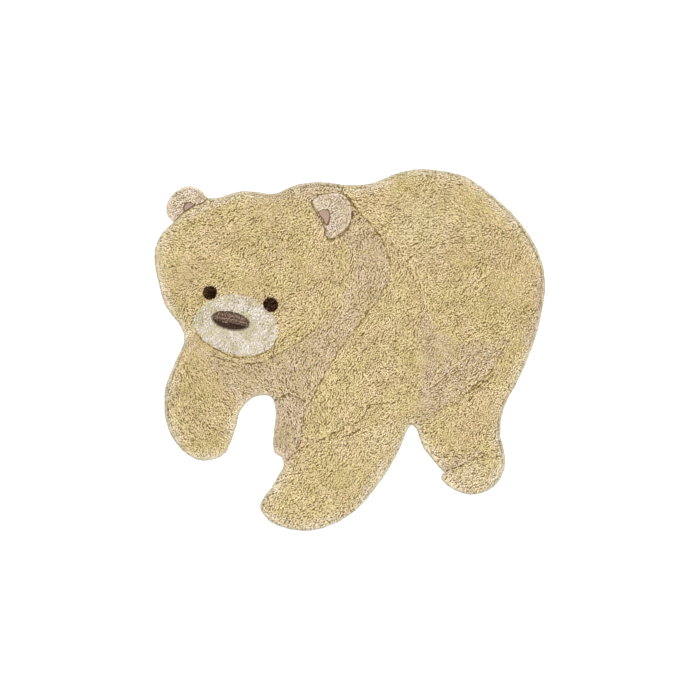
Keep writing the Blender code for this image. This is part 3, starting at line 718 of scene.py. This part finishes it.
def lock_mesh(name, locks, pile, material):
    """One mesh of closed three-sided bent locks, with colours and a map for a bake."""
    count = len(locks.root)
    rings = []
    for t, size in RINGS:
        middle = spine(locks, t)
        ahead = unit(spine(locks, t + 0.05) - spine(locks, t - 0.05))
        other = unit(np.cross(locks.across, ahead))
        for side in range(SIDES):
            turn = 2 * math.pi * (side + 0.5) / SIDES
            offset = locks.across * math.cos(turn) + other * math.sin(turn) * pile.stretch
            rings.append(middle + offset * (size * locks.width)[:, None])
    rings.append(spine(locks, 1.0))
    points = np.stack(rings, 1)  # lock, point of the lock, coordinate
    per_lock = points.shape[1]

    faces, uvs = lock_faces()
    corners = (np.arange(count)[:, None] * per_lock + np.concatenate(faces)).ravel()
    sizes = np.tile([len(f) for f in faces], count)

    mesh = bpy.data.meshes.new(name)
    mesh.vertices.add(count * per_lock)
    mesh.vertices.foreach_set("co", (points * MM).ravel())
    mesh.loops.add(len(corners))
    mesh.loops.foreach_set("vertex_index", corners)
    mesh.polygons.add(len(sizes))
    mesh.polygons.foreach_set("loop_start", np.cumsum(sizes) - sizes)
    mesh.update(calc_edges=True)
    mesh.validate()
    mesh.shade_smooth()

    # painted shade: each lock runs from its foot's shaded colour up to its lit end
    heights = np.repeat([t for t, _ in RINGS] + [1.0], [SIDES] * len(RINGS) + [1])
    lit = np.clip((heights - FOOT_SHARE) / LIT_SPAN, 0, 1)
    colours = locks.deep[:, None] + (locks.colour - locks.deep)[:, None] * lit[None, :, None]
    rgba = np.concatenate([colours, np.ones((count, per_lock, 1))], 2)
    # the yarn's colour, with its painted shade and light
    layer = mesh.color_attributes.new("yarn", "FLOAT_COLOR", "POINT")
    layer.data.foreach_set("color", rgba.ravel())

    across = math.ceil(math.sqrt(count))
    cell = 1 / across
    corner = np.stack([np.arange(count) % across, np.arange(count) // across], 1) * cell
    laid = corner[:, None] + np.array(uvs)[None] * cell
    mesh.uv_layers.new(name="OFBake").data.foreach_set("uv", laid.ravel())

    mesh.materials.append(material)
    return in_scene(name, mesh)


def lock_faces():
    """A lock's faces, and each corner's place in the lock's own cell of the map."""
    faces, uvs = [], []
    low, high, tip = MAP_LEVELS
    edges = [MAP_EDGE + side * MAP_STEP for side in range(SIDES + 1)]
    rounds = [(side, (side + 1) % SIDES, edges[side], edges[side + 1]) for side in range(SIDES)]
    for a, b, left, right in rounds:
        faces.append([a, b, SIDES + b, SIDES + a])
        uvs += [(left, low), (right, low), (right, high), (left, high)]
    for a, b, left, right in rounds:
        faces.append([SIDES + a, SIDES + b, len(RINGS) * SIDES])
        uvs += [(left, high), (right, high), ((left + right) / 2, tip)]
    faces.append(list(reversed(range(SIDES))))
    uvs += MAP_FOOT
    return faces, uvs


def spine(locks, t):
    """The point a share t along each lock, which bends over more and more towards its end."""
    return locks.root + locks.axis * (locks.length * t)[:, None] + locks.lean * (t * abs(t))


# ---- materials
def new_material(name, roughness, sheen=0.0):
    """A matt cloth material: its tree's nodes, its links and its shader."""
    material = bpy.data.materials.new(name)
    material.use_nodes = True
    tree = material.node_tree
    shader = tree.nodes["Principled BSDF"]
    values = {"Roughness": roughness, "Sheen Weight": sheen, "Sheen Roughness": 0.5}
    for key, value in {**values, "Specular IOR Level": 0.03}.items():
        shader.inputs[key].default_value = value
    return material, tree.nodes, tree.links, shader


def texture(nodes, links, kind, **inputs):
    """A texture of a kind, fixed to the piece, with its named inputs set."""
    node = nodes.new("ShaderNodeTex" + kind)
    for name, value in inputs.items():
        node.inputs[name].default_value = value
    place = nodes.new("ShaderNodeTexCoord")
    links.new(place.outputs["Object"], node.inputs["Vector"])
    return node


def combined(nodes, links, operation, first, second):
    """Two values, added or multiplied."""
    node = nodes.new("ShaderNodeMath")
    node.operation = operation
    links.new(first, node.inputs[0])
    links.new(second, node.inputs[1])
    return node.outputs["Value"]


def multiply(nodes, links, first, second):
    """The product of two colour outputs."""
    mix = nodes.new("ShaderNodeMix")
    mix.data_type = "RGBA"
    mix.blend_type = "MULTIPLY"
    mix.inputs["Factor"].default_value = 1.0
    links.new(first, mix.inputs[6])
    links.new(second, mix.inputs[7])
    return mix.outputs[2]


def ramp(nodes, links, source, stops):
    """A colour ramp over a value, through (place, colour) stops."""
    node = nodes.new("ShaderNodeValToRGB")
    elements = node.color_ramp.elements
    while len(elements) < len(stops):
        elements.new(0.5)
    for element, (place, colour) in zip(elements, stops):
        element.position = place
        element.color = (*colour, 1.0)
    links.new(source, node.inputs["Fac"])
    return node.outputs["Color"]


def yarn_material(name, fibre):
    """Cut cotton yarn: the locks' own colours with their painted shade and light, broken up by fine fibres.
    """
    material, nodes, links, shader = new_material(name, 0.95)
    yarn = nodes.new("ShaderNodeAttribute")
    yarn.attribute_name = "yarn"
    fibres = texture(nodes, links, "Noise", Scale=900.0, Detail=3.0, Roughness=0.6)
    dark, pale = (1 - fibre,) * 3, (1 + fibre,) * 3
    tone = ramp(nodes, links, fibres.outputs["Fac"], [(0.3, dark), (0.7, pale)])
    links.new(multiply(nodes, links, yarn.outputs["Color"], tone), shader.inputs["Base Color"])
    return material


def foot_shade_material(name, dark, light):
    """The dense foot of the pile, seen only in the gaps between locks, in dark painted shade."""
    material, nodes, links, shader = new_material(name, 0.98)
    clumps = texture(nodes, links, "Noise", Scale=260.0, Detail=4.0, Roughness=0.7)
    tone = ramp(nodes, links, clumps.outputs["Fac"], [(0.35, dark), (0.65, light)])
    links.new(tone, shader.inputs["Base Color"])
    return material


def cloth_material(name, light, dark, thread, nap, depth):
    """Plain-woven cloth: two crossed sets of threads a thread apart, with a brushed nap over them."""
    material, nodes, links, shader = new_material(name, 0.88, 0.05)
    sets = []
    for direction in ("X", "Y"):
        wave = texture(nodes, links, "Wave", Scale=0.05 / (thread * MM), Distortion=0.6, Detail=1.0)
        wave.bands_direction = direction
        sets.append(wave.outputs["Fac"])
    weave = combined(nodes, links, "MULTIPLY", *sets)
    fuzz = texture(nodes, links, "Noise", Scale=nap, Detail=5.0, Roughness=0.65).outputs["Fac"]
    threads = ramp(nodes, links, weave, [(0.0, dark), (0.6, light)])
    tone = ramp(nodes, links, fuzz, [(0.3, (0.90,) * 3), (0.7, (1.08,) * 3)])
    links.new(multiply(nodes, links, threads, tone), shader.inputs["Base Color"])
    bump = nodes.new("ShaderNodeBump")
    bump.inputs["Strength"].default_value = 0.5
    bump.inputs["Distance"].default_value = depth * MM
    links.new(combined(nodes, links, "ADD", weave, fuzz), bump.inputs["Height"])
    links.new(bump.outputs["Normal"], shader.inputs["Normal"])
    return material


# ---- the rug's pieces
def bands(count, rings):
    """The faces that join each ring of a stack to the next. Every ring has count points."""
    following = [*range(1, count), 0]
    return [[low + i, low + j, low + count + j, low + count + i]
            for low in range(0, (rings - 1) * count, count) for i, j in enumerate(following)]


def mesh_object(name, vertices, faces, material):
    """A piece from points in millimetres and faces."""
    mesh = bpy.data.meshes.new(name)
    mesh.from_pydata([tuple(c * MM for c in v) for v in vertices], [], faces)
    mesh.validate()
    mesh.shade_smooth()
    mesh.set_sharp_from_angle(angle=math.radians(50))
    mesh.materials.append(material)
    return in_scene(name, mesh)


def canvas_piece(solid, name, height, material):
    """The flat backing: the solid's foot, as thick as a height."""
    used = sorted({i for f in solid.foot_faces for i in f})
    index = {old: new for new, old in enumerate(used)}
    low = solid.vertices[used]
    vertices = np.concatenate([low, low + (0, 0, height)])
    under = [[index[i] for i in f] for f in solid.foot_faces]
    over = [[len(used) + i for i in reversed(f)] for f in under]
    edge = [index[i] for i in round_trip(solid.foot_faces)]
    sides = [[b, a, len(used) + a, len(used) + b] for a, b in zip(edge, edge[1:] + edge[:1])]
    return mesh_object(name, vertices, under + over + sides, material)


def pile_bed(solid, name, material, beside=None):
    """The dense foot of the pile, a little inside the solid, but tucked under the solid beside it."""
    moved = solid.vertices.copy()
    foot = moved[:, 2] < solid.floor + FOOT_BAND
    moved[:, 2] = np.maximum(moved[:, 2] - BED_DROP, solid.floor + BED_LOWEST)
    moved[foot, 2] = solid.floor + BACKING - 0.5
    inset = np.full(len(solid.rim), BED_INSET)
    if beside:
        inset[nearest(solid.rim, beside.rim, closed=True)[0] < SEAM_REACH] = -SEAM_TUCK
    moved[solid.rim_ids, :2] -= outward(solid.rim) * inset[:, None]
    return mesh_object(name, moved, solid.faces, material)


def body_pile(rug, near_ear):
    """Every lock of the body, as pieces by yarn and by place."""
    carvings = [(c, drawn(c.marks, 6.0)) for c in CARVINGS] + ear_lines(near_ear)
    points, tops = edged(rug, spread(rug.rim, BODY_PILE.pitch, BODY_PILE.jitter, 17.0, 11), BODY_PILE)
    tucked, _ = nearest(points, near_ear.rim, closed=True)
    free = ~inside(points, near_ear.rim) | (tucked < EAR_TUCK)
    for oval in (FAR_EYE, NEAR_EYE, NOSE):
        free &= ~in_oval(points, oval)[1]
    locks, points, gaps = planted(rug, points[free], tops[free], BODY_PILE, carvings, 21)
    names = np.full(len(points), "honey")
    rng = np.random.default_rng(31)
    shaken = rng.normal(size=points.shape)
    patch = rng.uniform(size=len(points)) + 0.15 * wander(points, 30.0, 5.8)
    for field in FIELDS:
        within = inside(points + shaken * field.softness, drawn(field.marks, 8.0, closed=True))
        names[within & (patch >= field.mingled)] = field.yarn

    pieces = []
    for name, yarn, slot, low, high in BODY_PARTS:
        part = (names == yarn) & (points[:, 0] >= low) & (points[:, 0] < high)
        blotch = MUZZLE_BLOTCH_LENGTH if yarn == "cream" else BLOTCH_LENGTH
        some = coloured(picked(locks, part), points[part], gaps[part], yarn, 41, blotch)
        pile = lock_mesh(name, some, BODY_PILE, yarn_material(yarn + "_yarn", 0.10))
        pieces.append(dress(pile, slot))
    return pieces


def ear_lines(ear):
    """The lines where the body's pile is pressed down in front of an ear, with painted shadow, and parted at
    its base.
    """
    out = outward(ear.rim)
    lines = []
    for carving, side, least in EAR_PARTS:
        faces_it = out @ np.array(side) > least
        first = int(np.argmax(faces_it & ~np.roll(faces_it, 1)))
        line = np.roll(ear.rim + out * carving.half_width / 2, -first, 0)
        lines.append((carving, line[np.roll(faces_it, -first)]))
    return lines


def face_patch(rug, oval, name, yarn, rows_at, seed):
    """An eye or the nose: a finer patch of dark locks in the face."""
    ring = pointing(np.arange(OVAL_POINTS) * 2 * math.pi / OVAL_POINTS)
    loop = turned(ring * (oval.half_width, oval.half_height), oval.tilt) + placed(oval)
    points = spread(loop, FACE_PILE.pitch, FACE_PILE.jitter, rows_at, seed)
    locks, points, gaps = planted(rug, points, rug.top(points), FACE_PILE, [], seed + 1)
    place, _ = in_oval(points, oval)
    mix = np.clip(0.25 + 0.9 * wander(points, 9.0, 3.3), 0, 1)
    if yarn == "umber":
        lower = place[:, 1] < -0.22 + 0.12 * wander(points, 20.0, 5.5)
        stripes = 0.5 + 0.5 * np.sin(place[:, 1] * 16 + wander(points, 30.0, 1.7))
        mix = np.where(lower | (np.sum(place**2, axis=1) > 0.78), 0.05, 0.35 + 0.65 * stripes)
    some = coloured(locks, points, gaps, yarn, seed + 2, mix=mix)
    patch = lock_mesh(name, some, FACE_PILE, yarn_material(name + "_yarn", 0.12))
    dark = YARNS[yarn].deep
    return patch, disc(rug, name + "_bed", loop, foot_shade_material(name + "_foot", dark, dark))


def muzzle_bed(rug):
    """The dense foot of the muzzle's pale pile, in painted shade."""
    loop = drawn(MUZZLE, 8.0, closed=True)
    light = np.array(YARNS["cream"].deep)
    foot = foot_shade_material("muzzle_foot_shade", light * 0.62, light * 0.85)
    return disc(rug, "muzzle_bed", loop, foot)


def disc(solid, name, loop, material):
    """The dense foot of a small patch of pile: a low slab within a loop, below the locks' ends."""
    count = len(loop)
    middle = loop.mean(0)
    top = solid.top([middle])[0]
    vertices = []
    for share, height in DISC_RINGS:
        vertices += [(x, y, top + height) for x, y in middle + (loop - middle) * share]
    faces = [list(range(count - 1, -1, -1)), list(range(2 * count, 3 * count))]
    return mesh_object(name, vertices, faces + bands(count, len(DISC_RINGS)), material)


def ear_pile(ear, cloth, rug, name, seed):
    """An ear's locks, round the pocket that its cloth lies in."""
    points, tops = edged(ear, spread(ear.rim, EAR_PILE.pitch, EAR_PILE.jitter, 40.0, seed), EAR_PILE)
    pocket, _ = nearest(points, cloth.rim, closed=True)
    rim_gap, _ = nearest(points, ear.rim, closed=True)
    free = ~inside(points, cloth.rim) & (pocket > np.where(rim_gap < POCKET_MOUTH, POCKET_MOUTH, POCKET_GAP))
    edges = [(carving, np.concatenate([solid.rim, solid.rim[:1]])) for carving, solid in
             ((POCKET, cloth), (EAR_ROOT, rug))]
    locks, points, gaps = planted(ear, points[free], tops[free], EAR_PILE, edges, seed + 1)
    some = coloured(locks, points, gaps, "ear", seed + 2, EAR_BLOTCH_LENGTH)
    return lock_mesh(name, some, EAR_PILE, yarn_material(name + "_yarn", 0.09))


def inner_ear(cloth, shift, name, material):
    """The smooth cloth in an ear, gently domed, with its cut edge turned down."""
    used = cloth.rim + shift
    middle = used.mean(0)
    low, high = cloth.floor, cloth.vertices[:, 2].max()
    shares = (1.0, 0.98, 0.92, 0.78, 0.52, 0.26)
    rises = (0.0, 0.55, 0.85, 1.0, 1.1, 1.15)
    vertices = [(x, y, low) for x, y in used]
    for share, rise in zip(shares, rises):
        ring = middle + (used - middle) * share
        waves = 0.25 * wander(ring, 9.0, 1.1)
        vertices += [(x, y, low + (high - low) * rise + wave * (rise > 0.9))
                     for (x, y), wave in zip(ring, waves)]
    vertices.append((*middle, low + (high - low) * rises[-1]))
    count = len(used)
    faces = [list(range(count - 1, -1, -1)), *bands(count, len(shares) + 1)]
    top = len(shares) * count
    faces += [[top + i, top + (i + 1) % count, len(vertices) - 1] for i in range(count)]
    return mesh_object(name, vertices, faces, material)


# ---- the room, the light and the camera
def stand_floor():
    """A large plain pale floor."""
    bpy.ops.mesh.primitive_plane_add(size=FLOOR_SIZE, location=(0, 0, 0))
    floor = bpy.context.object
    floor.name = "floor"
    material = bpy.data.materials.new("floor_white")
    material.use_nodes = True
    shader = material.node_tree.nodes["Principled BSDF"]
    shader.inputs["Base Color"].default_value = (*(FLOOR_WHITE,) * 3, 1.0)
    shader.inputs["Roughness"].default_value = 0.95
    floor.data.materials.append(material)


def area_light(name, place, size, power):
    """A square soft light that shines from a place towards the rug, in metres."""
    data = bpy.data.lights.new(name, "AREA")
    data.size = size
    data.energy = power
    light = in_scene(name, data)
    light.location = place
    light.rotation_euler = (-Vector(place)).to_track_quat("-Z", "Y").to_euler()


def light_and_camera():
    """Soft studio light from the top of the picture, and a camera that looks straight down."""
    area_light("soft_key", (-0.4, 0.75, 4.1), size=1.0, power=105.0)
    area_light("overhead", (1.2, -0.5, 4.2), size=4.0, power=151.0)
    world = bpy.data.worlds.new("studio")
    world.use_nodes = True
    background = world.node_tree.nodes["Background"]
    background.inputs["Color"].default_value = (1.0, 1.0, 1.0, 1.0)
    background.inputs["Strength"].default_value = WORLD_LIGHT
    bpy.context.scene.world = world
    bpy.context.scene.view_settings.view_transform = "Standard"

    data = bpy.data.cameras.new("camera")
    data.sensor_width = SENSOR
    data.lens = SENSOR * (CAMERA_AT[2] - BACKING - BODY_PILE.length) / VIEW_WIDTH
    camera = in_scene("camera", data)
    camera.location = [c * MM for c in CAMERA_AT]
    bpy.context.scene.camera = camera


def dress(piece, slot, *nodes):
    """The piece rides on the rug and stands for the nodes. The slot is not used."""
    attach(piece, ROOT)
    if nodes:
        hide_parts(*nodes)
    return piece


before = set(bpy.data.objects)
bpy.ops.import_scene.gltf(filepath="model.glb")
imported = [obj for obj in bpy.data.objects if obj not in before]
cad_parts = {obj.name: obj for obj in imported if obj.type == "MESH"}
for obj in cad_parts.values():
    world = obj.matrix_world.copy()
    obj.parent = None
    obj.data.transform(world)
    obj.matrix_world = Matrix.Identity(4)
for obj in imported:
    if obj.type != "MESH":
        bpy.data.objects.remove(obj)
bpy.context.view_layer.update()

rug, near_ear, far_ear = (Solid(name) for name in ("rug", "ear_near", "ear_far"))
near_cloth, far_cloth = (Solid(name) for name in ("inner_ear_near", "inner_ear_far"))

lining = cloth_material("lining_cloth", (0.78, 0.72, 0.62), (0.50, 0.44, 0.36), 1.3, 1500.0, 0.5)
mauve = cloth_material("mauve_cloth", (0.388, 0.276, 0.226), (0.323, 0.225, 0.180), 0.7, 2600.0, 0.25)
# painted shade: the dark brown seen in the gaps and cracks of the body's pile
foot_shade = foot_shade_material("pile_foot_shade", (0.13, 0.085, 0.032), (0.22, 0.150, 0.062))

backing = dress(canvas_piece(rug, "backing", BACKING, lining), "backing_cloth")
bed = dress(pile_bed(rug, "pile_bed", foot_shade), "body_pile", "rug")
body_pieces = body_pile(rug, near_ear)
faces = [dress(muzzle_bed(rug), "muzzle_pile")]
for oval, name, yarn, rows_at, seed in (
    (FAR_EYE, "far_eye", "cocoa", 10.0, 51),
    (NEAR_EYE, "near_eye", "cocoa", 35.0, 61),
    (NOSE, "nose", "umber", NOSE.tilt, 71),
):
    slot = "nose_pile" if yarn == "umber" else "eye_pile"
    faces += [dress(piece, slot) for piece in face_patch(rug, oval, name, yarn, rows_at, seed)]
for ear, cloth, side, shift, seed in (
    (near_ear, near_cloth, "near", (-2.2, 0.3), 81),
    (far_ear, far_cloth, "far", (0.0, 0.0), 91),
):
    dress(pile_bed(ear, f"ear_bed_{side}", foot_shade, rug), "ear_pile", ear.name)
    dress(ear_pile(ear, cloth, rug, f"ear_locks_{side}", seed), "ear_pile")
    inner = dress(inner_ear(cloth, shift, f"ear_cloth_{side}", mauve), "inner_ear", cloth.name)

stand_floor()
light_and_camera()
